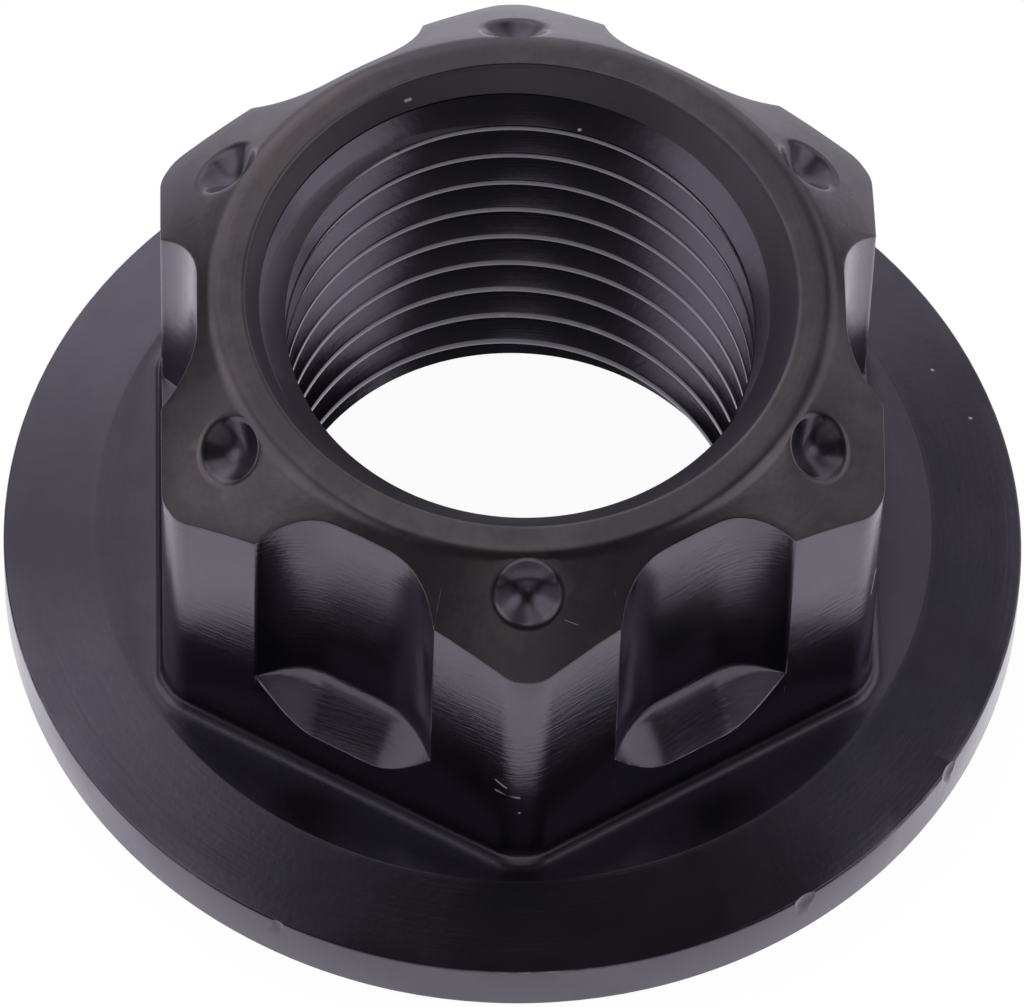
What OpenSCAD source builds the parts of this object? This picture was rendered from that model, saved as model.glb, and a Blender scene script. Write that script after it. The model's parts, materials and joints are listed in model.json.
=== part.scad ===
// Flanged axle nut, turned and milled from one bar. The seat lies at z = 0 and the thread's axis is Z.

/* [Flange] */
// Diameter of the flange
flange_d = 32; // [29:0.5:40]
// Height of the flange's upright rim
rim_h = 2; // [1:0.1:4]
// Fall of the flange's upper face towards the rim, in degrees
flange_slope = 15; // [5:1:25]
// Chamfer on the rim's two edges
rim_break = 0.15; // [0.05:0.05:0.4]
// Width of the flat land between the hexagon's corners and the sloping face
land_w = 0.7; // [0.6:0.05:1.2]

/* [Hexagon] */
// Distance across the flats
across_flats = 22; // [21:0.5:24]
// Depth that is turned off each corner
corner_cut = 0.25; // [0.1:0.05:0.5]
// Radius of the fillet round the foot of the hexagon
foot_r = 0.35; // [0.2:0.05:0.5]

/* [Crown] */
// Height of the whole nut
nut_h = 15.7; // [14:0.1:20]
// Fall of the crown towards the corners, in degrees
crown_slope = 40; // [25:1:45]
// Width of the top face, from the bore's mouth to the crown, before its edge is rounded
top_w = 1; // [0.8:0.05:1.3]
// Radius of the edge between the top face and the crown
top_round = 0.9; // [0.2:0.05:1]

/* [Thread] */
// Nominal diameter of the thread
thread_d = 16; // [14:0.5:16.5]
// Pitch of the thread
thread_pitch = 1.5; // [1:0.25:2]
// How far the countersink in the top stands outside the thread's nominal radius
mouth_over = 0.45; // [0.3:0.05:0.6]
// How far the countersink in the seat stands outside the thread's nominal radius
seat_over = 0.4; // [0.1:0.05:0.8]
// Slope of the top's countersink, in degrees from the seat's plane
mouth_slope = 48; // [30:1:60]
// Slope of the seat's countersink, in degrees from the seat's plane
seat_slope = 45; // [30:1:60]

/* [Pockets] */
// Depth of each pocket, measured from its flat
pocket_depth = 1.1; // [0.6:0.05:1.2]
// Diameter of the cutter
cutter_d = 5.2; // [4:0.1:6]
// Sideways travel of the cutter
cutter_travel = 1.9; // [1:0.1:3]
// Height of the foot of a pocket's upright wall above the flange's land
wall_foot_h = 3.7; // [3.2:0.05:6]
// Slope of the pocket's floor, in degrees
floor_slope = 60; // [30:1:65]

/* [Dimples] */
// Diameter of each dimple
dimple_d = 2.3; // [1.2:0.1:2.4]
// Distance of the dimples' centres outside the top face's edge
dimple_out = 0.85; // [0.7:0.05:1.2]
// Point angle of the drill, in degrees
drill_point = 114; // [90:1:140]

/* [Hidden] */
$fn = 96;
sides = 6;
side_turn = 360 / sides;
corner_turn = side_turn / 2;
// How far a tool reaches past the surface that it cuts
reach = 2;
// How far one solid is sunk into the next, so that they join
sink = 0.02;

flat_r = across_flats / 2;
flange_r = flange_d / 2;
corner_r = flat_r / cos(corner_turn) - corner_cut;
land_r = corner_r + land_w;
land_z = rim_h + (flange_r - land_r) * tan(flange_slope);

// A metric thread's minor diameter is this many pitches under its nominal one
minor_pitches = 1.0825;
thread_r = thread_d / 2;
bore_r = thread_r - minor_pitches * thread_pitch / 2;
mouth_r = thread_r + mouth_over;
bore_top_z = nut_h - (mouth_r - bore_r) * tan(mouth_slope);
seat_mouth_r = thread_r + seat_over;
bore_foot_z = (seat_mouth_r - bore_r) * tan(seat_slope);

top_r = mouth_r + top_w;
corner_z = nut_h - (corner_r - top_r) * tan(crown_slope);
// The rounding of the top's edge starts and ends this far from the edge
top_touch = top_round * tan(crown_slope / 2);

cutter_r = cutter_d / 2;
cutter_axis_r = flat_r - pocket_depth + cutter_r;
wall_foot_z = land_z + wall_foot_h;
// The cutter's point is ground flat at this radius
cutter_tip_r = 0.8 * (cutter_r - pocket_depth);
cutter_tip_z = wall_foot_z - (cutter_r - cutter_tip_r) * tan(floor_slope);

dimple_r = dimple_d / 2;
dimple_circle_r = top_r + dimple_out;
dimple_z = nut_h - dimple_out * tan(crown_slope);
dimple_tip_h = dimple_r / tan(drill_point / 2);

// Lower corner between an upright wall at x = wall and a floor at y = floor, filled with a cove
module cove(wall, floor, r) {
    difference() {
        translate([0, floor - r])
            square([wall + r, 2 * r - sink]);
        translate([wall + r, floor + r - sink])
            circle(r = r);
    }
}

module flange() {
    rotate_extrude()
        polygon([
            [0, 0],
            [flange_r - rim_break, 0],
            [flange_r, rim_break],
            [flange_r, rim_h - rim_break],
            [flange_r - rim_break, rim_h + rim_break * tan(flange_slope)],
            [land_r, land_z],
            [0, land_z],
        ]);
}

// Section across two opposite flats, with the milled fillet at the foot of each
module flats_section() {
    translate([-flat_r, land_z - foot_r])
        square([across_flats, nut_h - land_z + foot_r]);
    for (side = [0, 1])
        mirror([side, 0])
            cove(flat_r, land_z, foot_r);
}

module hexagon() {
    intersection_for (pair = [0 : sides / 2 - 1])
        rotate([90, 0, pair * side_turn])
            linear_extrude(height = 2 * flange_d, center = true)
                flats_section();
}

// Turned blank that the hexagon is milled from: trimmed corners, crown and rounded top
module turned_blank() {
    rotate_extrude() {
        polygon([
            [0, land_z - foot_r],
            [corner_r, land_z - foot_r],
            [corner_r, corner_z],
            [top_r + top_touch * cos(crown_slope), nut_h - top_touch * sin(crown_slope)],
            [top_r - top_touch, nut_h],
            [0, nut_h],
        ]);
        translate([top_r - top_touch, nut_h - top_round])
            circle(r = top_round);
        cove(corner_r, land_z, foot_r);
    }
}

module threaded_bore() {
    rotate_extrude()
        polygon([
            [0, -reach],
            [seat_mouth_r + reach / tan(seat_slope), -reach],
            [bore_r, bore_foot_z],
            [bore_r, bore_top_z],
            [mouth_r + reach / tan(mouth_slope), nut_h + reach],
            [0, nut_h + reach],
        ]);
}

// Half of the cutter's outline, from its axis outwards
module cutter_outline() {
    polygon([
        [0, cutter_tip_z],
        [cutter_tip_r, cutter_tip_z],
        [cutter_r, wall_foot_z],
        [cutter_r, nut_h + reach],
        [0, nut_h + reach],
    ]);
}

// Space that the cutter sweeps beside one flat, which faces +X
module pocket() {
    translate([cutter_axis_r, 0, 0]) {
        for (end = [-1, 1])
            translate([0, end * cutter_travel / 2, 0])
                rotate_extrude()
                    cutter_outline();
        rotate([90, 0, 0])
            linear_extrude(height = cutter_travel, center = true)
                for (side = [0, 1])
                    mirror([side, 0])
                        cutter_outline();
    }
}

// Drill that stands square to the crown above the corner at +X
module dimple() {
    translate([dimple_circle_r, 0, dimple_z])
        rotate([0, crown_slope, 0]) {
            translate([0, 0, -dimple_tip_h])
                cylinder(h = dimple_tip_h, r1 = 0, r2 = dimple_r);
            cylinder(h = reach, r = dimple_r);
        }
}

module axle_nut() {
    color([0.11, 0.105, 0.11])
        difference() {
            union() {
                flange();
                intersection() {
                    hexagon();
                    turned_blank();
                }
            }
            threaded_bore();
            for (side = [0 : sides - 1])
                rotate([0, 0, side * side_turn])
                    pocket();
            for (corner = [0 : sides - 1])
                rotate([0, 0, corner_turn + corner * side_turn])
                    dimple();
        }
}

axle_nut();
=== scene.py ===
import json
import math

import bmesh
import bpy
import numpy as np
from mathutils import Matrix, Vector


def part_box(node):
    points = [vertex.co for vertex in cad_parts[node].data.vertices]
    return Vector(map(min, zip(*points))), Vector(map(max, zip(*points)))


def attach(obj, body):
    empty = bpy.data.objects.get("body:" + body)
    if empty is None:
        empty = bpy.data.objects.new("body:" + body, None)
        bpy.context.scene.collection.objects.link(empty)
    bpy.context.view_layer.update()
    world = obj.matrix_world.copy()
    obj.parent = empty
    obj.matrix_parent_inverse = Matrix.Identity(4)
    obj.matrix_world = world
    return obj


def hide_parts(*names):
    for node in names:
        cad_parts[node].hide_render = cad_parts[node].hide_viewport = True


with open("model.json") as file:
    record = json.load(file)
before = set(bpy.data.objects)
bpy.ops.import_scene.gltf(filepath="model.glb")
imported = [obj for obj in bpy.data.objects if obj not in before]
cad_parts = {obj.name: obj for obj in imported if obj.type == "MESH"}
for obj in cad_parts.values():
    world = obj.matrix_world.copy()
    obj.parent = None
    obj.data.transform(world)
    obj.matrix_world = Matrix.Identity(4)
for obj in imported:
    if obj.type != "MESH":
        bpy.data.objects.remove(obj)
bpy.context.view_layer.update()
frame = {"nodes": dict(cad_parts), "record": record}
scene = bpy.context.scene
scene.view_settings.view_transform = "Standard"
mm = 0.001
print("frame loaded:", sorted(frame["nodes"]))


def tanDeg(angle):
    return math.tan(math.radians(angle))


# sizes of the nut in mm and degrees; width and height come from the frame, the bore from the record's thread mount
nutLow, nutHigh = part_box("axle_nut")
threadMount = next(m for m in frame["record"]["mounts"] if m["name"] == "thread")
nut = {
    "flangeR": (nutHigh.x - nutLow.x) / 2 / mm, "rimH": 2.0, "flangeSlope": 15, "rimBreak": 0.15, "landW": 0.7,
    "sides": 6, "flatR": 11.0, "cornerCut": 0.25, "footR": 0.42,
    "height": nutHigh.z / mm, "crownSlope": 40, "topW": 1.0, "topRound": 0.9,
    "boreR": threadMount["dims"]["r_mm"], "threadR": 8.0, "mouthOver": 0.45, "seatOver": 0.4,
    "mouthSlope": 48, "seatSlope": 45,
    "pocketDepth": 1.1, "cutterR": 2.6, "cutterTravel": 1.9, "wallFootH": 3.7, "floorSlope": 60,
    # how softly edges are broken
    "edgeR": 0.07, "rimR": 0.11, "landSoft": 0.3, "floorLipR": 0.16, "hollowR": 1.9,
    "lipBlend": 0.12, "facetBlend": 0.17,
    "sinkRing": 0.12,  # a row this far outside each countersink keeps its shading off the flat face
    "wornLipDown": 0.6,  # the pockets' lips wear up to this far under the top
    "wallMilled": 1.0, "floorMilled": 0.3,  # how strongly milling marks show
}
nut["sideTurn"] = 360 / nut["sides"]
nut["cornerTurn"] = nut["sideTurn"] / 2
nut["cornerR"] = nut["flatR"] / math.cos(math.radians(nut["cornerTurn"])) - nut["cornerCut"]
nut["landR"] = nut["cornerR"] + nut["landW"]
nut["landZ"] = nut["rimH"] + (nut["flangeR"] - nut["landR"]) * tanDeg(nut["flangeSlope"])
nut["mouthR"] = nut["threadR"] + nut["mouthOver"]
nut["seatMouthR"] = nut["threadR"] + nut["seatOver"]
nut["topR"] = nut["mouthR"] + nut["topW"]
nut["wallFootZ"] = nut["landZ"] + nut["wallFootH"]
nut["cutterAxisR"] = nut["flatR"] - nut["pocketDepth"] + nut["cutterR"]
nut["lipU"] = nut["cutterTravel"] / 2 + math.sqrt(
    nut["cutterR"] ** 2 - (nut["cutterR"] - nut["pocketDepth"]) ** 2)  # half width of a pocket at its flat


# the lower of two arrays, rounded over by blend where they cross; and how near the crossing is, from 0 to 1
def softMin(a, b, blend):
    near = np.maximum(blend - np.abs(a - b), 0) / blend
    return np.minimum(a, b) - near ** 2 * blend / 4, near


def columnAngles(n):  # azimuths in degrees over one turn, and each one's angle from the middle of its flat
    facet = math.degrees(math.acos(n["flatR"] / n["cornerR"]))
    lip = math.degrees(math.atan2(n["lipU"], n["flatR"]))
    bend = math.degrees(math.atan2(n["cutterTravel"] / 2, n["flatR"] - n["pocketDepth"]))
    corner = n["cornerTurn"]
    # from a flat's middle to its corner: where a run starts and its columns, closest at the lip and the corner facet
    stops = [(0, 3), (bend, 10), (lip - 0.5, 6), (lip + 0.5, 4), (facet - 1.6, 8), (facet + 0.4, 3), (corner, 0)]
    runs = [np.linspace(a[0], b[0], a[1] + 1)[:-1] for a, b in zip(stops, stops[1:])]
    half = np.concatenate(runs + [[corner]])
    sector = np.concatenate([-half[::-1], half[1:]])[:-1]
    turn = (sector[None] + n["sideTurn"] * np.arange(n["sides"])[:, None]).ravel()
    return np.append(turn, turn[0] + 360), np.append(np.tile(sector, n["sides"]), sector[0])


def wallRadii(n, delta):  # plan of the hexagon and of its pockets: radius by angle from a flat's middle
    c, s = np.cos(np.radians(delta)), np.abs(np.sin(np.radians(delta)))
    hexR, _ = softMin(n["flatR"] / c, np.full_like(c, n["cornerR"]), n["facetBlend"])
    half = n["cutterTravel"] / 2
    straight = (n["flatR"] - n["pocketDepth"]) / c
    b = n["cutterAxisR"] * c + half * s  # where the ray first meets the cutter's round end
    inside = b ** 2 - (n["cutterAxisR"] ** 2 + half ** 2 - n["cutterR"] ** 2)
    missed = 99.0  # farther out than any wall
    bent = np.where(inside > 0, b - np.sqrt(np.maximum(inside, 0)), missed)
    pocketR = np.where(straight * s <= half, straight, bent)
    wallR, atLip = softMin(hexR, pocketR, n["lipBlend"])
    return hexR, wallR, atLip


def floorHeight(n, r, delta):  # the pocket's sloping floor: rises with the distance from the cutter's axis
    across, along = r * np.cos(np.radians(delta)), r * np.abs(np.sin(np.radians(delta)))
    away = np.hypot(n["cutterAxisR"] - across, np.maximum(along - n["cutterTravel"] / 2, 0))
    return n["wallFootZ"] - np.maximum(n["cutterR"] - away, 0) * tanDeg(n["floorSlope"])


def outsideKeys(n, delta):  # corners of the section, from the seat's middle round the outside to the top's middle
    hexR, wallR, atLip = wallRadii(n, delta)
    one = np.ones_like(delta)
    e, keys = n["edgeR"], []

    def key(r, z, radius=0.0, rows=1, milled=0.0):  # a corner, with the rows and milling of the run that starts there
        keys.append((r * one, z * one, radius, rows, milled))

    key(0, 0)
    key(n["seatMouthR"] + n["sinkRing"], 0, rows=3)
    key(n["flangeR"] - n["rimBreak"], 0, e)
    key(n["flangeR"], n["rimBreak"], e, 2)
    key(n["flangeR"], n["rimH"], n["rimR"], 4)
    key(n["landR"], n["landZ"], n["landSoft"], 2)
    for rise in np.linspace(0, 90, 7):  # fillet round the hexagon's foot, from the land up to the flat
        phi = math.radians(rise)
        grow = n["footR"] * (1 - math.sin(phi))
        flat, corner = (n["flatR"] + grow) / np.cos(np.radians(delta)), one * (n["cornerR"] + grow)
        footR, _ = softMin(flat, corner, n["facetBlend"])
        footZ = n["landZ"] + n["footR"] * (1 - math.cos(phi))
        key(footR, footZ, rows=4 if rise == 90 else 1, milled=n["wallMilled"] if rise > 45 else 0.0)
    key(hexR, floorHeight(n, hexR, delta), n["floorLipR"], milled=n["floorMilled"])
    for share in (0.75, 0.5):  # two rows down the pocket's floor
        r = wallR + (hexR - wallR) * share
        key(r, floorHeight(n, r, delta), milled=n["floorMilled"])
    key(wallR, n["wallFootZ"], n["hollowR"], 7, n["wallMilled"])
    key(wallR, n["height"] - (wallR - n["topR"]) * tanDeg(n["crownSlope"]), e, 4)
    key(n["topR"], n["height"], n["topRound"], 3)
    key(n["mouthR"] + n["sinkRing"], n["height"])
    key(0, n["height"])
    return keys, atLip


def roundedRows(keys, arcSteps=6):  # straight runs between the corners, each corner a parabola that touches both runs
    mostTurn, mostOfRun = 2.6, 0.45  # radians that a corner may turn, and its share of a run
    outTurn, leastTouch, wornUnder = 0.2, 0.005, 0.3  # outward corners wear where their radius is small
    points = np.array([[k[0], k[1]] for k in keys]).transpose(0, 2, 1)
    run = points[1:] - points[:-1]
    length = np.linalg.norm(run, axis=2)
    unit = run / np.maximum(length, 1e-9)[..., None]
    rows, edges, milled = [points[0]], [np.zeros(len(points[0]))], [keys[0][4]]
    ends = []
    for i in range(1, len(keys) - 1):
        turn = np.arccos(np.clip((unit[i - 1] * unit[i]).sum(1), -1, 1))
        touch = np.minimum(keys[i][2] * np.tan(np.minimum(turn, mostTurn) / 2),
                           mostOfRun * np.minimum(length[i - 1], length[i]))
        ends.append((points[i] - unit[i - 1] * touch[:, None], points[i] + unit[i] * touch[:, None], touch))
    for i in range(len(keys) - 1):
        start = points[0] if i == 0 else ends[i - 1][1]
        finish = points[-1] if i == len(keys) - 2 else ends[i][0]
        for s in np.linspace(0, 1, keys[i][3] + 1)[1:]:
            rows.append(start + (finish - start) * s)
            edges.append(np.zeros(len(start)))
            milled.append(keys[i][4])
        if i < len(keys) - 2 and keys[i + 1][2] > 0:
            inTo, outOf, touch = ends[i]
            outward = unit[i, :, 0] * unit[i + 1, :, 1] - unit[i, :, 1] * unit[i + 1, :, 0]
            wears = (outward > outTurn) & (touch > leastTouch) & (keys[i + 1][2] < wornUnder)
            for s in np.linspace(0, 1, arcSteps + 1)[1:]:
                rows.append((1 - s) ** 2 * inTo + 2 * s * (1 - s) * points[i + 1] + s ** 2 * outOf)
                edges.append(np.where(wears, math.sin(math.pi * s), 0))
                milled.append(keys[i][4] if s < 0.5 else keys[i + 1][4])
    return np.array(rows), np.array(edges), np.array(milled)


markNames = ("edge", "milled", "drilled")
weld = {"merge": 0.0015 * mm, "sliver": 0.0005 * mm}


# quads over each (rows, columns) grid of points, with its UV and marks; doubles merged, faces turned outwards
def gridMesh(name, grids):
    coords, quads, uvs, marks, first = [], [], [], {markName: [] for markName in markNames}, 0
    for points, uv, mark in grids:
        rows, columns = points.shape[:2]
        index = first + np.arange(rows * columns).reshape(rows, columns)
        quad = np.stack([index[:-1, :-1], index[:-1, 1:], index[1:, 1:], index[1:, :-1]], -1)
        quads.append(quad.reshape(-1, 4))
        coords.append(points.reshape(-1, 3))
        uvs.append(uv.reshape(-1, 2))
        for markName, values in marks.items():
            values.append(np.broadcast_to(mark.get(markName, 0.0), (rows, columns)).ravel())
        first += rows * columns
    coords, quads, uvs = np.concatenate(coords), np.concatenate(quads), np.concatenate(uvs)
    mesh = bpy.data.meshes.new(name)
    mesh.from_pydata(coords * mm, [], quads)
    layer = mesh.uv_layers.new(name="turned")
    layer.data.foreach_set("uv", uvs[quads.ravel()].astype(np.float32).ravel())
    for markName, values in marks.items():
        attribute = mesh.attributes.new(markName, "FLOAT", "POINT")
        attribute.data.foreach_set("value", np.concatenate(values).astype(np.float32))
    work = bmesh.new()
    work.from_mesh(mesh)
    bmesh.ops.remove_doubles(work, verts=work.verts, dist=weld["merge"])
    bmesh.ops.dissolve_degenerate(work, edges=work.edges, dist=weld["sliver"])
    bmesh.ops.recalc_face_normals(work, faces=work.faces)
    openEdges = sum(not e.is_manifold for e in work.edges)
    work.to_mesh(mesh)
    work.free()
    piece = bpy.data.objects.new(name, mesh)
    scene.collection.objects.link(piece)
    print(name, "faces", len(mesh.polygons), "open edges", openEdges)
    return piece


def spun(section, azimuth):  # section rows (r, z) at every azimuth to points in space
    a = np.radians(azimuth)
    return np.stack([section[..., 0] * np.cos(a), section[..., 0] * np.sin(a), section[..., 1]], -1)


# lines of the tools: rise of a milled line in mm a degree, weight of z against r on turned faces, the radius that
# u is measured at, and how far v is moved on each cut, so that its lines are its own
toolLines = {"lead": 0.025, "zWeight": 1.37, "uRadius": 12, "tap": 60, "countersinks": 80, "dimples": 90, "dents": 70}


# u runs round the nut; v is the same along a turned line, or along a milled one
def turnedUv(section, azimuth, milled=0.0, shift=0.0):
    r, z = section[..., 0], section[..., 1]
    turnedV, milledV = r + toolLines["zWeight"] * z, z - toolLines["lead"] * azimuth
    v = np.where(np.reshape(milled, (-1, 1)) > 0, milledV, turnedV)
    return np.stack([np.broadcast_to(np.radians(azimuth) * toolLines["uRadius"], r.shape), v + shift], -1)


azimuth, delta = columnAngles(nut)
keys, atLip = outsideKeys(nut, delta)
outside, edgeMark, milledRows = roundedRows(keys)
outsideZ, milledMark = outside[..., 1], milledRows[:, None]
wallRow = (outsideZ > nut["landZ"] + nut["footR"]) & (outsideZ < nut["height"] - nut["wornLipDown"])
edgeMark = np.maximum(edgeMark, wallRow * atLip[None])
body = gridMesh("axle_nut_body", [(spun(outside, azimuth), turnedUv(outside, azimuth, milledMark),
                                   {"edge": edgeMark, "milled": milledMark})])


def cutAway(piece, cutter):  # the cutter's volume is taken out of the piece, and the cutter removed
    boolean = piece.modifiers.new("cut", "BOOLEAN")
    boolean.object, boolean.operation, boolean.solver = cutter, "DIFFERENCE", "MANIFOLD"
    bpy.context.view_layer.update()
    cut = bpy.data.meshes.new_from_object(piece.evaluated_get(bpy.context.evaluated_depsgraph_get()))
    piece.modifiers.clear()
    old, piece.data = piece.data, cut
    bpy.data.meshes.remove(old)
    bpy.data.objects.remove(cutter)
    print(piece.name, "cut, faces", len(cut.polygons))


# right-hand thread: z rises counter-clockwise; crestZ is a crest's height over +Y, turns are counted from it
thread = {"pitch": 1.5, "crestZ": 14.06, "crestHalf": 0.14, "rootHalf": 0.094, "crestSoft": 0.03, "crestWear": 0.6,
          "turns": (-13, 6), "past": 1.0, "coneOver": 0.5, "coneFall": 2, "columns": 192}


def tapRows(n, t, azimuth):  # the tap: rows wind with the thread, and cones past both ends close it on the axis
    half, low = t["pitch"] / 2, n["boreR"]
    rise = (n["threadR"] - low) / (half - t["rootHalf"] - t["crestHalf"])
    c, soft = t["crestHalf"], t["crestSoft"]
    side = np.array([c - soft, c, c + soft, (c + half - t["rootHalf"]) / 2, half - t["rootHalf"]])
    phase = np.concatenate([-side[::-1], side])
    eased = np.where(np.abs(np.abs(phase) - c) < 1e-6, soft * rise / 4, 0)
    depth = np.maximum(np.abs(phase) - c, 0) * rise + eased
    turns = np.arange(*t["turns"])
    offset = (turns[:, None] * t["pitch"] + phase[None]).ravel()
    threadR = np.tile(low + depth, len(turns))
    z = t["crestZ"] + t["pitch"] * (azimuth[None] - 90) / 360 + offset[:, None]
    zLow, zHigh = -t["past"], n["height"] + t["past"]
    z = np.clip(z, zLow, zHigh)
    ends = n["threadR"] + t["coneOver"] - t["coneFall"] * np.minimum(z - zLow, zHigh - z)
    r = np.maximum(threadR[:, None], ends)
    crest = np.tile((np.abs(phase) <= c + soft).astype(float), len(turns))[:, None] * np.ones_like(r)
    axis = np.zeros((1, len(azimuth), 2))
    rows = np.concatenate([axis + [0, zLow], np.stack([r, z], -1), axis + [0, zHigh]])
    return rows, np.pad(crest, ((1, 1), (0, 0)))


# countersinks: how far the mouth's edge is eased, and how far the cutter reaches past the bore and the face
countersink = {"soft": 0.05, "past": 0.5}


def sinkRows(n, k, r, z, slope, up, azimuth):  # a cone with its mouth's edge eased in four steps, closed on the axis
    rise, soft, past = tanDeg(slope), k["soft"], k["past"]
    deep = r - n["boreR"] + past
    cone = [(0, -deep * rise), (r - deep, -deep * rise), (r - past, -past * rise)]
    eased = [(r - soft, -soft * rise), (r - soft * 0.3, -soft * rise * 0.42), (r + soft * 0.4, -soft * rise * 0.1),
             (r + soft, soft * 0.12)]
    profile = np.array(cone + eased + [(r + past, past), (0, past)])
    profile[:, 1] = z + up * profile[:, 1]
    return np.repeat(profile[:, None], len(azimuth), 1)


boreTurn = np.linspace(0, 360, thread["columns"] + 1)
tap, crestMark = tapRows(nut, thread, boreTurn)
mouthSink = sinkRows(nut, countersink, nut["mouthR"], nut["height"], nut["mouthSlope"], 1, boreTurn)
seatSink = sinkRows(nut, countersink, nut["seatMouthR"], 0, nut["seatSlope"], -1, boreTurn)
cutAway(body, gridMesh("tap", [(spun(tap, boreTurn), turnedUv(tap, boreTurn, shift=toolLines["tap"]),
                                {"edge": thread["crestWear"] * crestMark})]))
cutAway(body, gridMesh("countersinks", [
    (spun(rows, boreTurn), turnedUv(rows, boreTurn, shift=toolLines["countersinks"]), {})
    for rows in (mouthSink, seatSink)]))

# drilled dimples in the crown above each corner, square to its slope; point is the angle of the cone in degrees,
# tipR how far that cone is rounded to a bowl, flareIn the share of the lip inside r, and clear the room past the lip
dimple = {"r": 1.05, "out": 0.88, "point": 80, "tipR": 0.85, "lip": 0.15, "flareIn": 0.8, "clear": (0.02, 0.05),
          "reach": 1.5, "bowlRows": 14, "flareRows": 6, "segments": 72}


def dimpleCutters(n, d):  # each a bowl, its rim flared into the crown and bent to the crown's cone
    fall = 1 / tanDeg(d["point"] / 2)

    def depth(r):  # a hyperbola that runs out into the cone
        return fall * (math.hypot(d["r"], d["tipR"]) - np.hypot(r, d["tipR"]))

    rad = np.linspace(0, d["r"] - d["lip"] * d["flareIn"], d["bowlRows"])
    high = -depth(rad)
    start, corner, end = np.array([rad[-1], high[-1]]), np.array([d["r"], 0]), np.array([d["r"] + d["lip"], 0])
    s = np.linspace(0, 1, d["flareRows"])[1:, None]
    flare = (1 - s) ** 2 * start + 2 * s * (1 - s) * corner + s ** 2 * end
    clearOut, clearUp = d["clear"]
    rad = np.concatenate([rad, flare[:, 0], [end[0] + clearOut, end[0] + clearOut, 0]])
    high = np.concatenate([high, flare[:, 1], [clearUp, d["reach"], d["reach"]]])
    a = np.linspace(0, 2 * math.pi, d["segments"] + 1)
    lean, middle = math.radians(n["crownSlope"]), n["topR"] + d["out"]
    across, along = rad[:, None] * np.cos(a), rad[:, None] * np.sin(a)
    up = high[:, None] - along ** 2 * math.sin(lean) / (2 * middle)
    x = across * math.cos(lean) + up * math.sin(lean) + middle
    z = up * math.cos(lean) - across * math.sin(lean) + n["height"] - d["out"] * tanDeg(n["crownSlope"])
    v = (rad + toolLines["dimples"])[:, None]
    uv = np.stack([np.broadcast_to(a * d["r"], x.shape), np.broadcast_to(v, x.shape)], -1)
    marks = {"drilled": (rad < d["r"] - d["lip"])[:, None] & (high < 0)[:, None]}
    grids = []
    for turned in np.radians(n["cornerTurn"] + n["sideTurn"] * np.arange(n["sides"])):
        c, s = math.cos(turned), math.sin(turned)
        grids.append((np.stack([x * c - along * s, x * s + along * c, z], -1), uv, marks))
    return grids


cutAway(body, gridMesh("dimple_cutters", dimpleCutters(nut, dimple)))

# dents in the rim's upper edge: azimuth in degrees, then half width and depth in mm; stretch is length over width
dents = {"spots": [(-56.7, 0.36, 0.11), (-33.2, 0.38, 0.11), (-118, 0.22, 0.05)], "stretch": 1.6, "halfHeight": 0.8,
         "wear": 0.3, "segments": 24}


def dentCutters(n, d):  # each an upright egg whose inner side bites into the rim
    lat = np.radians(np.linspace(-90, 90, d["segments"] // 2 + 1))[:, None]
    lon = np.radians(np.linspace(0, 360, d["segments"] + 1))[None]
    grids = []
    for az, halfWidth, deep in d["spots"]:
        out = n["flangeR"] - deep + halfWidth + halfWidth * np.cos(lat) * np.cos(lon)
        along = d["stretch"] * halfWidth * np.cos(lat) * np.sin(lon)
        z = n["rimH"] + d["halfHeight"] * np.sin(lat) + 0 * lon
        c, s = math.cos(math.radians(az)), math.sin(math.radians(az))
        uv = np.stack([along, z + toolLines["dents"]], -1)
        grids.append((np.stack([out * c - along * s, out * s + along * c, z], -1), uv, {"edge": d["wear"]}))
    return grids


cutAway(body, gridMesh("dent_cutters", dentCutters(nut, dents)))


def finishShading(piece, sharpAngle):  # smooth faces, sharp only past the angle, flat faces lead the normals
    mesh = piece.data
    mesh.polygons.foreach_set("use_smooth", np.ones(len(mesh.polygons), bool))
    mesh.set_sharp_from_angle(angle=math.radians(sharpAngle))
    weighted = piece.modifiers.new("flat faces lead", "WEIGHTED_NORMAL")
    weighted.keep_sharp = True


finishShading(body, sharpAngle=22)


def link(tree, pairs):
    for out, into in pairs:
        tree.links.new(out, into)


floatKind, vectorKind = "NodeSocketFloat", "NodeSocketVector"


def newGroup(name, inputs, outputs):  # empty shader group with named float or vector sockets
    group = bpy.data.node_groups.new(name, "ShaderNodeTree")
    for side, sockets in (("INPUT", inputs), ("OUTPUT", outputs)):
        for socketName, kind in sockets:
            group.interface.new_socket(socketName, in_out=side, socket_type=kind)
    return group, group.nodes.new("NodeGroupInput"), group.nodes.new("NodeGroupOutput")


def vectorNode(tree, operation, first=None, second=None):  # vector maths on sockets or fixed vectors
    node = tree.nodes.new("ShaderNodeVectorMath")
    node.operation = operation
    for socket, value in zip(node.inputs, (first, second)):
        if isinstance(value, bpy.types.NodeSocket):
            tree.links.new(value, socket)
        elif value is not None:
            socket.default_value = value
    return node.outputs["Value" if operation in ("DOT_PRODUCT", "DISTANCE", "LENGTH") else "Vector"]


def mathNode(tree, operation, a, b=None, clamp=False):  # maths on sockets or fixed numbers
    node = tree.nodes.new("ShaderNodeMath")
    node.operation, node.use_clamp = operation, clamp
    for socket, value in zip(node.inputs, (a, b)):
        if isinstance(value, bpy.types.NodeSocket):
            tree.links.new(value, socket)
        elif value is not None:
            socket.default_value = value
    return node.outputs[0]


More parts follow.
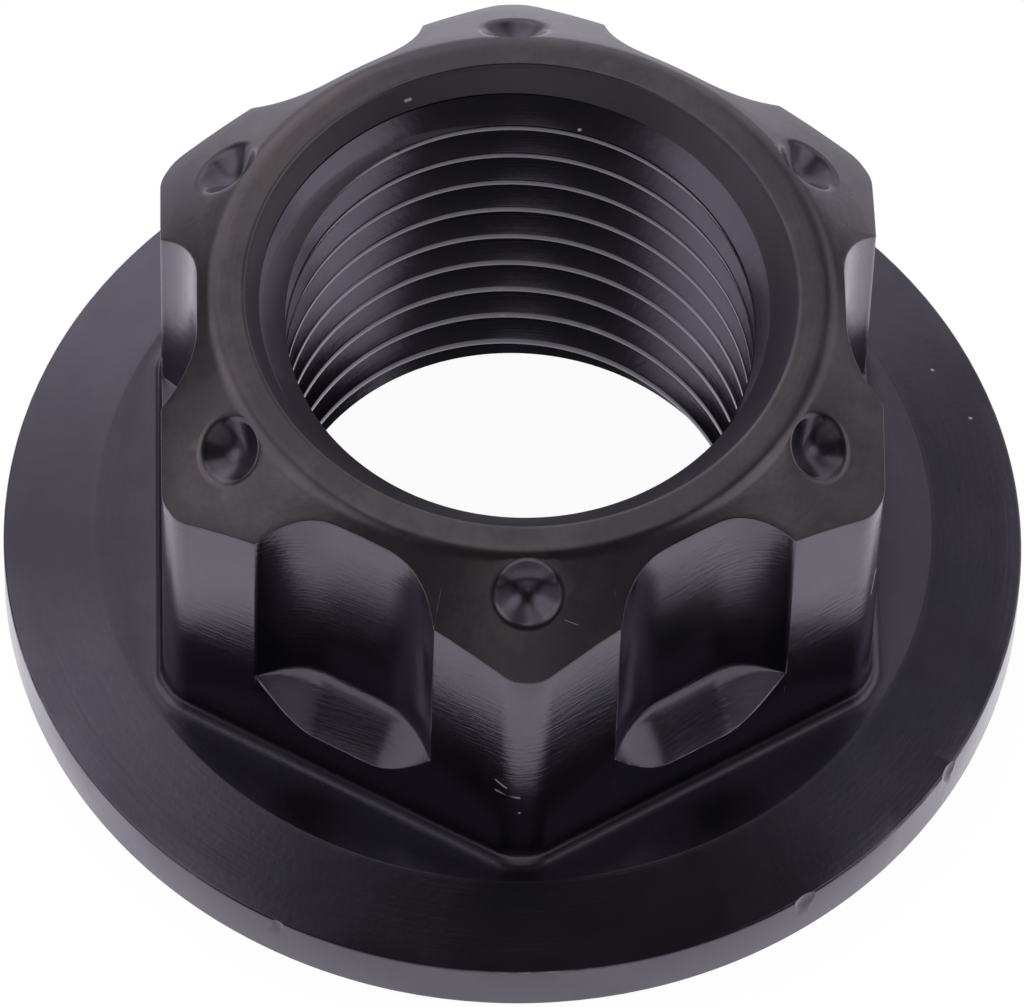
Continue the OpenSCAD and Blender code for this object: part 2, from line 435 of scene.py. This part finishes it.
def rangeNode(tree, value, fromLow, fromHigh, toLow=0.0, toHigh=1.0):  # a smooth step from one level to another
    node = tree.nodes.new("ShaderNodeMapRange")
    node.interpolation_type = "SMOOTHSTEP"
    tree.links.new(value, node.inputs["Value"])
    for name, number in zip(("From Min", "From Max", "To Min", "To Max"), (fromLow, fromHigh, toLow, toHigh)):
        if isinstance(number, bpy.types.NodeSocket):
            tree.links.new(number, node.inputs[name])
        else:
            node.inputs[name].default_value = number
    return node.outputs["Result"]


def noiseNode(tree, vector, scale, detail, rough=0.5):
    node = tree.nodes.new("ShaderNodeTexNoise")
    node.inputs["Scale"].default_value, node.inputs["Detail"].default_value = scale, detail
    node.inputs["Roughness"].default_value = rough
    tree.links.new(vector, node.inputs["Vector"])
    return node.outputs["Fac"]


# black anodised aluminium: a dark, faintly violet metal skin with a clear coat; noises are scale, detail, roughness
finish = {
    "skin": (0.064, 0.056, 0.081), "skinCloudy": (0.072, 0.063, 0.087),
    "crown": (0.073, 0.065, 0.079), "crownCloudy": (0.100, 0.084, 0.092),
    # the top countersink's tone is lighter than the skin: painted light, standing in for light bounced about inside
    # the bore
    "sink": (0.098, 0.088, 0.112), "bare": (0.40, 0.40, 0.42), "dust": (0.55, 0.53, 0.50),
    "metal": 0.95, "wornMatte": 0.5, "edgeTint": (0.93, 0.90, 1, 1),
    "clouds": (300.0, 6.0, 0.75), "cloudRange": (0.40, 0.62),
    # roughness, its noise, and what each zone adds to it
    "rough": (0.15, 0.21), "roughNoise": (420.0, 3.0, 0.6), "roughRange": (0.3, 0.7),
    "crownRough": 0.06, "sinkRough": 0.38, "drillRough": 0.10, "footRough": 0.12, "wornRough": 0.3, "dustRough": 0.4,
    "coat": 0.40, "crownCoat": 0.2, "coatIor": 1.55, "coatRough": 0.17,
    # heights in mm of turning marks, of milling marks in patches, and of the grain; spacings are lines in u and v
    "marks": 0.003, "markNoise": (1.0, 2.0, 0.6), "turnSpacing": (0.12, 11, 1),
    "milling": 0.009, "millSpacing": (0.9, 8, 1),
    "millPatches": (170.0, 1.0), "patchRange": (0.40, 0.62), "millLeast": 0.2,
    "grain": 0.003, "grainNoise": (5200.0, 1.0),
    # rubbed edges: the amount of wear, the two noises that break it up, the level where it starts with that level's
    # fall by the amount, and the level where it is full
    "wear": 0.95, "wearNoise": (1400.0, 2.0, 0.65), "wearPatches": (130.0, 1.0),
    "wearStart": (0.5, 0.3), "wearFull": 0.6,
    # widths in mm over which the zones of the crown, the countersink and the hexagon's foot fade out
    "crownFade": (0.075, 0.14), "sinkFade": (0.05, 0.10), "footOut": 0.2, "footUp": (0.5, 0.8),
    # scratches and specks where the photo shows them: from, to, half width in mm
    "scratches": [((-0.85, -12.21, 7.21), (-0.54, -12.37, 6.99), 0.05),
                  ((-0.84, -12.22, 6.63), (-0.14, -12.45, 6.53), 0.06),
                  ((1.12, -10.96, 14.38), (1.51, -11.06, 14.26), 0.012),
                  ((10.77, -6.25, 8.26), (10.88, -6.06, 9.39), 0.05)],
    "specks": [((-3.42, 7.35, 15.32), (-3.28, 7.41, 15.32), 0.065), ((1.94, 7.01, 14.19), (1.98, 7.01, 14.19), 0.06),
               ((13.39, 5.81, 2.37), (13.42, 5.81, 2.37), 0.06), ((14.54, 4.07, 2.24), (14.57, 4.07, 2.24), 0.06),
               ((-0.12, -12.45, 5.64), (-0.10, -12.45, 5.64), 0.05)],
}


def toolMarksGroup(f):  # fine lines that a lathe or a mill leaves along u, as a height
    group, into, out = newGroup("tool marks", [("Surface", vectorKind), ("Spacing", vectorKind)],
                                [("Height", floatKind)])
    scaled = vectorNode(group, "MULTIPLY", into.outputs["Surface"], into.outputs["Spacing"])
    link(group, [(noiseNode(group, scaled, *f["markNoise"]), out.inputs["Height"])])
    return group


def placedGroup(name, strokes):  # a mask of short strokes: how near a point is to the line from one end to the other
    group, into, out = newGroup(name, [("Place", vectorKind)], [("Mask", floatKind)])
    total = None
    for start, end, half in strokes:
        run = (Vector(end) - Vector(start)) * mm
        away = vectorNode(group, "SUBTRACT", into.outputs["Place"], Vector(start) * mm)
        ahead = vectorNode(group, "DOT_PRODUCT", away, run / run.length_squared)
        nearest = group.nodes.new("ShaderNodeVectorMath")
        nearest.operation = "SCALE"
        nearest.inputs[0].default_value = run
        link(group, [(mathNode(group, "MULTIPLY", ahead, 1.0, True), nearest.inputs["Scale"])])
        off = vectorNode(group, "DISTANCE", away, nearest.outputs[0])
        mask = rangeNode(group, off, 0.5 * half * mm, half * mm, 1.0, 0.0)
        total = mask if total is None else mathNode(group, "MAXIMUM", total, mask)
    link(group, [(total, out.inputs["Mask"])])
    return group


def wearGroup(f):  # rubbed spots along the edges, broken up by noise
    group, into, out = newGroup("edge wear", [("Edge", floatKind), ("Place", vectorKind), ("Amount", floatKind)],
                                [("Mask", floatKind)])
    broken = noiseNode(group, into.outputs["Place"], *f["wearNoise"])
    patchy = noiseNode(group, into.outputs["Place"], *f["wearPatches"])
    level = mathNode(group, "MULTIPLY", broken, patchy)
    level = mathNode(group, "MULTIPLY", level, into.outputs["Edge"])
    start, fall = f["wearStart"]
    limit = mathNode(group, "SUBTRACT", start, mathNode(group, "MULTIPLY", into.outputs["Amount"], fall))
    link(group, [(rangeNode(group, level, limit, f["wearFull"]), out.inputs["Mask"])])
    return group


# shares of the crown, the top's countersink and the hexagon's foot, by how near a point is to them
def turnedZones(tree, place, n, f):
    parts = tree.nodes.new("ShaderNodeSeparateXYZ")
    link(tree, [(place, parts.inputs[0])])
    r, z = vectorNode(tree, "LENGTH", vectorNode(tree, "MULTIPLY", place, (1, 1, 0))), parts.outputs["Z"]
    fall, rise = tanDeg(n["crownSlope"]), tanDeg(n["mouthSlope"])

    def share(value, low, high):  # 1 up to low and 0 from high, both in mm
        return rangeNode(tree, value, low * mm, high * mm, 1.0, 0.0)

    cone = mathNode(tree, "ADD", mathNode(tree, "MULTIPLY", r, -fall), (n["height"] + n["topR"] * fall) * mm)
    top = mathNode(tree, "MINIMUM", cone, n["height"] * mm)
    crown = share(mathNode(tree, "SUBTRACT", top, z), *f["crownFade"])
    cone = mathNode(tree, "ADD", mathNode(tree, "MULTIPLY", r, rise), (n["height"] - n["mouthR"] * rise) * mm)
    # the top countersink's share: it makes the tone lighter as painted light, and the finish rougher
    sink = share(mathNode(tree, "ABSOLUTE", mathNode(tree, "SUBTRACT", cone, z)), *f["sinkFade"])
    sink = mathNode(tree, "MULTIPLY", sink, mathNode(tree, "LESS_THAN", r, n["mouthR"] * mm))
    low, high = f["footUp"]
    foot = mathNode(tree, "MULTIPLY", share(r, n["landR"], n["landR"] + f["footOut"]),
                    share(z, n["landZ"] + low, n["landZ"] + high))
    foot = mathNode(tree, "MULTIPLY", foot, mathNode(tree, "GREATER_THAN", r, n["mouthR"] * mm))
    return crown, sink, foot


def anodisedMaterial(f, n):  # the skin's tone by zone, bare where it is worn, with tool marks and grain as a bump
    material = bpy.data.materials.new("black anodised")
    material.use_nodes = True
    tree = material.node_tree
    shader = tree.nodes["Principled BSDF"]
    place = tree.nodes.new("ShaderNodeTexCoord").outputs["Object"]
    crown, sink, foot = turnedZones(tree, place, n, f)
    uvMap = tree.nodes.new("ShaderNodeUVMap")
    uvMap.uv_map = "turned"
    surface = uvMap.outputs[0]

    def marked(name):
        node = tree.nodes.new("ShaderNodeAttribute")
        node.attribute_name = name
        return node.outputs["Fac"]

    def used(group):
        node = tree.nodes.new("ShaderNodeGroup")
        node.node_tree = group
        return node

    def mix(a, b, factor):
        node = tree.nodes.new("ShaderNodeMix")
        node.data_type = "RGBA"
        for socket, value in ((node.inputs[6], a), (node.inputs[7], b)):  # the colour sockets
            if isinstance(value, tuple):
                socket.default_value = (*value, 1)
            else:
                tree.links.new(value, socket)
        tree.links.new(factor, node.inputs[0])
        return node.outputs[2]

    edge, milled, drilled = (marked(name) for name in markNames)
    marksTree = toolMarksGroup(f)
    turning, milling, wear = used(marksTree), used(marksTree), used(wearGroup(f))
    turning.inputs["Spacing"].default_value = f["turnSpacing"]
    milling.inputs["Spacing"].default_value = f["millSpacing"]
    wear.inputs["Amount"].default_value = f["wear"]
    scratches, specks = used(placedGroup("scratches", f["scratches"])), used(placedGroup("specks", f["specks"]))
    link(tree, [(surface, turning.inputs["Surface"]), (surface, milling.inputs["Surface"]),
                (edge, wear.inputs["Edge"])])
    link(tree, [(place, node.inputs["Place"]) for node in (wear, scratches, specks)])
    speck = specks.outputs["Mask"]
    worn = mathNode(tree, "MAXIMUM", wear.outputs["Mask"], scratches.outputs["Mask"])

    cloudy = rangeNode(tree, noiseNode(tree, place, *f["clouds"]), *f["cloudRange"])
    tone = mix(mix(f["skin"], f["skinCloudy"], cloudy), mix(f["crown"], f["crownCloudy"], cloudy), crown)
    # the countersink's lighter tone is painted light for light bounced inside the bore; worn and dusty spots are real
    for colour, where in ((f["sink"], sink), (f["bare"], worn), (f["dust"], speck)):
        tone = mix(tone, colour, where)
    rough = rangeNode(tree, noiseNode(tree, place, *f["roughNoise"]), *f["roughRange"], *f["rough"])
    for where, more in ((speck, f["dustRough"]), (worn, f["wornRough"]), (crown, f["crownRough"]),
                        (sink, f["sinkRough"]), (foot, f["footRough"]), (drilled, f["drillRough"])):
        rough = mathNode(tree, "ADD", rough, mathNode(tree, "MULTIPLY", where, more), True)
    patchy = rangeNode(tree, noiseNode(tree, place, *f["millPatches"]), *f["patchRange"], f["millLeast"],
                       f["milling"] / f["marks"])
    onMilled = mathNode(tree, "MULTIPLY", mathNode(tree, "MULTIPLY", milling.outputs["Height"], patchy), milled)
    height = mathNode(tree, "MULTIPLY", mathNode(tree, "ADD", turning.outputs["Height"], onMilled), f["marks"])
    grain = mathNode(tree, "MULTIPLY", noiseNode(tree, place, *f["grainNoise"]), f["grain"])
    matte = mathNode(tree, "MAXIMUM", speck, mathNode(tree, "MULTIPLY", worn, f["wornMatte"]))
    bump = tree.nodes.new("ShaderNodeBump")
    bump.inputs["Distance"].default_value = mm
    link(tree, [(mathNode(tree, "ADD", height, grain), bump.inputs["Height"]),
                (bump.outputs[0], shader.inputs["Normal"]),
                (tone, shader.inputs["Base Color"]), (rough, shader.inputs["Roughness"]),
                (mathNode(tree, "SUBTRACT", f["metal"], matte, True), shader.inputs["Metallic"]),
                (rangeNode(tree, crown, 0.0, 1.0, f["coat"], f["crownCoat"]), shader.inputs["Coat Weight"])])
    shader.inputs["Coat IOR"].default_value = f["coatIor"]
    shader.inputs["Coat Roughness"].default_value = f["coatRough"]
    shader.inputs["Specular Tint"].default_value = f["edgeTint"]
    return material


body.data.materials.clear()
body.data.materials.append(anodisedMaterial(finish, nut))
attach(body, "root")
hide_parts("axle_nut")
print("nut dressed")

# camera as fitted to the photo, lengths in mm: it looks at targetZ on the axis, turned and rolled in degrees;
# offX and offY are that target's place from the picture's middle in pixels
photo = {"width": 1024, "focalPx": 11863.5, "distance": 368.47, "targetZ": 7.2, "elevation": 57.114, "roll": 2.079,
         "turn": 2.85, "offX": 4.07, "offY": -59.86, "sensor": 36.0, "clip": (0.01, 20)}


def photoCamera(p):  # sight line from the fitted elevation and turn, aimed so that the picture's middle needs no shift
    el, turn, roll = (math.radians(p[k]) for k in ("elevation", "turn", "roll"))
    ahead = Vector((0, math.cos(el), -math.sin(el)))
    right = Vector((1, 0, 0))
    up = right.cross(ahead)
    right, up = right * math.cos(roll) + up * math.sin(roll), up * math.cos(roll) - right * math.sin(roll)
    spot = Vector((0, 0, p["targetZ"] * mm)) - ahead * p["distance"] * mm
    aim = (ahead - right * (p["offX"] / p["focalPx"]) + up * (p["offY"] / p["focalPx"])).normalized()
    right = (right - aim * right.dot(aim)).normalized()
    up = right.cross(aim)
    pose = Matrix((right, up, -aim)).transposed().to_4x4()
    pose.translation = spot
    data = bpy.data.cameras.new("photo camera")
    data.sensor_width, data.lens = p["sensor"], p["focalPx"] / p["width"] * p["sensor"]
    data.clip_start, data.clip_end = p["clip"]
    camera = bpy.data.objects.new("photo camera", data)
    camera.matrix_world = Matrix.Rotation(-turn, 4, "Z") @ pose
    scene.collection.objects.link(camera)
    scene.camera = camera


photoCamera(photo)

studio = {
    "floorHalf": 3.0, "floorDrop": 0.03, "paper": (0.82, 0.82, 0.82, 1), "table": (0.10, 0.10, 0.10, 1),
    "paperGlow": 0.96, "paperShare": 0.10,
    "paperMiddle": (0, 0.12, 0), "paperEdge": (0.18, 0.23),  # in metres: the paper fades into the table
    # dark cards in front, right and left: azimuth, angle of the even middle and of the edge, level left;
    # they stand past flagNear in metres and end between the heights flagTop, as sines of the elevation
    "flags": [(-42, 3, 10, 0.12), (-134, 4, 11, 0.3)], "flagNear": (0.024, 0.034), "flagTop": (0.45, 0.62),
    "room": (0.20, 0.06), "roomFade": (0.5, 0.92),  # level low down and high up, and the heights that it fades between
    # soft panels of the tent: azimuth, elevation, angle of the even middle and of the outer edge, level
    "panels": [(176, 48, 12, 30, 0.9), (-172, 52, 5, 14, 0.2), (124, 42, 10, 32, 0.6), (156, 73, 4, 13, 0.12),
               (-3, 47, 8, 23, 1.05), (33, 26, 6, 24, 0.6), (36, 55, 8, 22, 0.17), (190, 14, 8, 36, 0.26),
               (5, 12, 8, 36, 0.25), (90, 8, 20, 50, 0.75), (-90, 3, 8, 38, 0.3), (-90, 42, 7, 14, 0.26),
               (90, 72, 6, 14, 0.6), (90, 62, 8, 24, 0.2), (90, 55, 6, 14, 0.2)],
}


def direction(azimuthDeg, elevationDeg):
    az, el = math.radians(azimuthDeg), math.radians(elevationDeg)
    return Vector((math.cos(az) * math.cos(el), math.sin(az) * math.cos(el), math.sin(el)))


# a level that changes from outer to inner as vector turns to within the angles edge and middle of a direction
def towards(tree, vector, aim, middle, edge, outer, inner):
    facing = vectorNode(tree, "DOT_PRODUCT", vector, aim)
    return rangeNode(tree, facing, math.cos(math.radians(edge)), math.cos(math.radians(middle)), outer, inner)


def besideFlags(tree, vector, s):  # 1 away from the dark cards, and each card's level towards it, by azimuth
    plan = vectorNode(tree, "NORMALIZE", vectorNode(tree, "MULTIPLY", vector, (1, 1, 0)))
    free = None
    for az, middle, edge, level in s["flags"]:
        beside = towards(tree, plan, direction(az, 0), middle, edge, 1.0, level)
        free = beside if free is None else mathNode(tree, "MULTIPLY", free, beside)
    return free


def studioFloor(s):  # pale paper: white to the camera and in reflections, with a share left to light and shadow
    half, z = s["floorHalf"], -s["floorDrop"] * mm
    mesh = bpy.data.meshes.new("floor")
    mesh.from_pydata([(-half, -half, z), (half, -half, z), (half, half, z), (-half, half, z)], [], [(0, 1, 2, 3)])
    floor = bpy.data.objects.new("floor", mesh)
    scene.collection.objects.link(floor)
    material = bpy.data.materials.new("pale floor")
    material.use_nodes = True
    tree = material.node_tree
    tree.nodes.clear()
    place = tree.nodes.new("ShaderNodeTexCoord").outputs["Object"]
    away = vectorNode(tree, "DISTANCE", place, s["paperMiddle"])
    inFront = rangeNode(tree, vectorNode(tree, "LENGTH", place), *s["flagNear"], 1.0, 0.0)
    unflagged = mathNode(tree, "MAXIMUM", besideFlags(tree, place, s), inFront)
    onPaper = mathNode(tree, "MULTIPLY", rangeNode(tree, away, *s["paperEdge"], 1.0, 0.0), unflagged)
    ground = tree.nodes.new("ShaderNodeMix")
    ground.data_type = "RGBA"
    ground.inputs[6].default_value, ground.inputs[7].default_value = s["table"], s["paper"]
    matte = tree.nodes.new("ShaderNodeBsdfDiffuse")
    share = tree.nodes.new("ShaderNodeBsdfDiffuse")
    share.inputs["Color"].default_value = (*[s["paperShare"]] * 3, 1)
    glow = tree.nodes.new("ShaderNodeEmission")
    glow.inputs["Strength"].default_value = s["paperGlow"]
    white = tree.nodes.new("ShaderNodeAddShader")
    path = tree.nodes.new("ShaderNodeLightPath")
    mirrored = mathNode(tree, "MAXIMUM", path.outputs["Is Glossy Ray"], path.outputs["Is Transmission Ray"])
    seen = mathNode(tree, "MAXIMUM", path.outputs["Is Camera Ray"], mathNode(tree, "MULTIPLY", mirrored, onPaper))
    shown = tree.nodes.new("ShaderNodeMixShader")
    clear = tree.nodes.new("ShaderNodeBsdfTransparent")
    under = tree.nodes.new("ShaderNodeNewGeometry")
    sided = tree.nodes.new("ShaderNodeMixShader")  # from below the floor is open, so the seat can be seen
    out = tree.nodes.new("ShaderNodeOutputMaterial")
    link(tree, [(onPaper, ground.inputs[0]), (ground.outputs[2], matte.inputs["Color"]),
                (glow.outputs[0], white.inputs[0]), (share.outputs[0], white.inputs[1]), (seen, shown.inputs[0]),
                (matte.outputs[0], shown.inputs[1]), (white.outputs[0], shown.inputs[2]),
                (under.outputs["Backfacing"], sided.inputs[0]), (shown.outputs[0], sided.inputs[1]),
                (clear.outputs[0], sided.inputs[2]), (sided.outputs[0], out.inputs["Surface"])])
    mesh.materials.append(material)


def studioRoom(s):  # a tent of soft panels over a dim room: each fades from its even middle to its edge
    world = bpy.data.worlds.new("studio room")
    scene.world = world
    world.use_nodes = True
    tree = world.node_tree
    sky = tree.nodes.new("ShaderNodeTexCoord").outputs["Generated"]
    parts = tree.nodes.new("ShaderNodeSeparateXYZ")
    link(tree, [(sky, parts.inputs[0])])
    level = rangeNode(tree, parts.outputs["Z"], *s["roomFade"], *s["room"])
    for az, el, middle, edge, bright in s["panels"]:
        level = mathNode(tree, "ADD", level, towards(tree, sky, direction(az, el), middle, edge, 0.0, bright))
    aboveFlags = rangeNode(tree, parts.outputs["Z"], *s["flagTop"])
    unflagged = mathNode(tree, "MAXIMUM", besideFlags(tree, sky, s), aboveFlags)
    background = tree.nodes["Background"]
    background.inputs["Color"].default_value = (1, 1, 1, 1)
    link(tree, [(mathNode(tree, "MULTIPLY", level, unflagged), background.inputs["Strength"])])


studioFloor(studio)
studioRoom(studio)
print("studio lit")

bpy.context.view_layer.update()
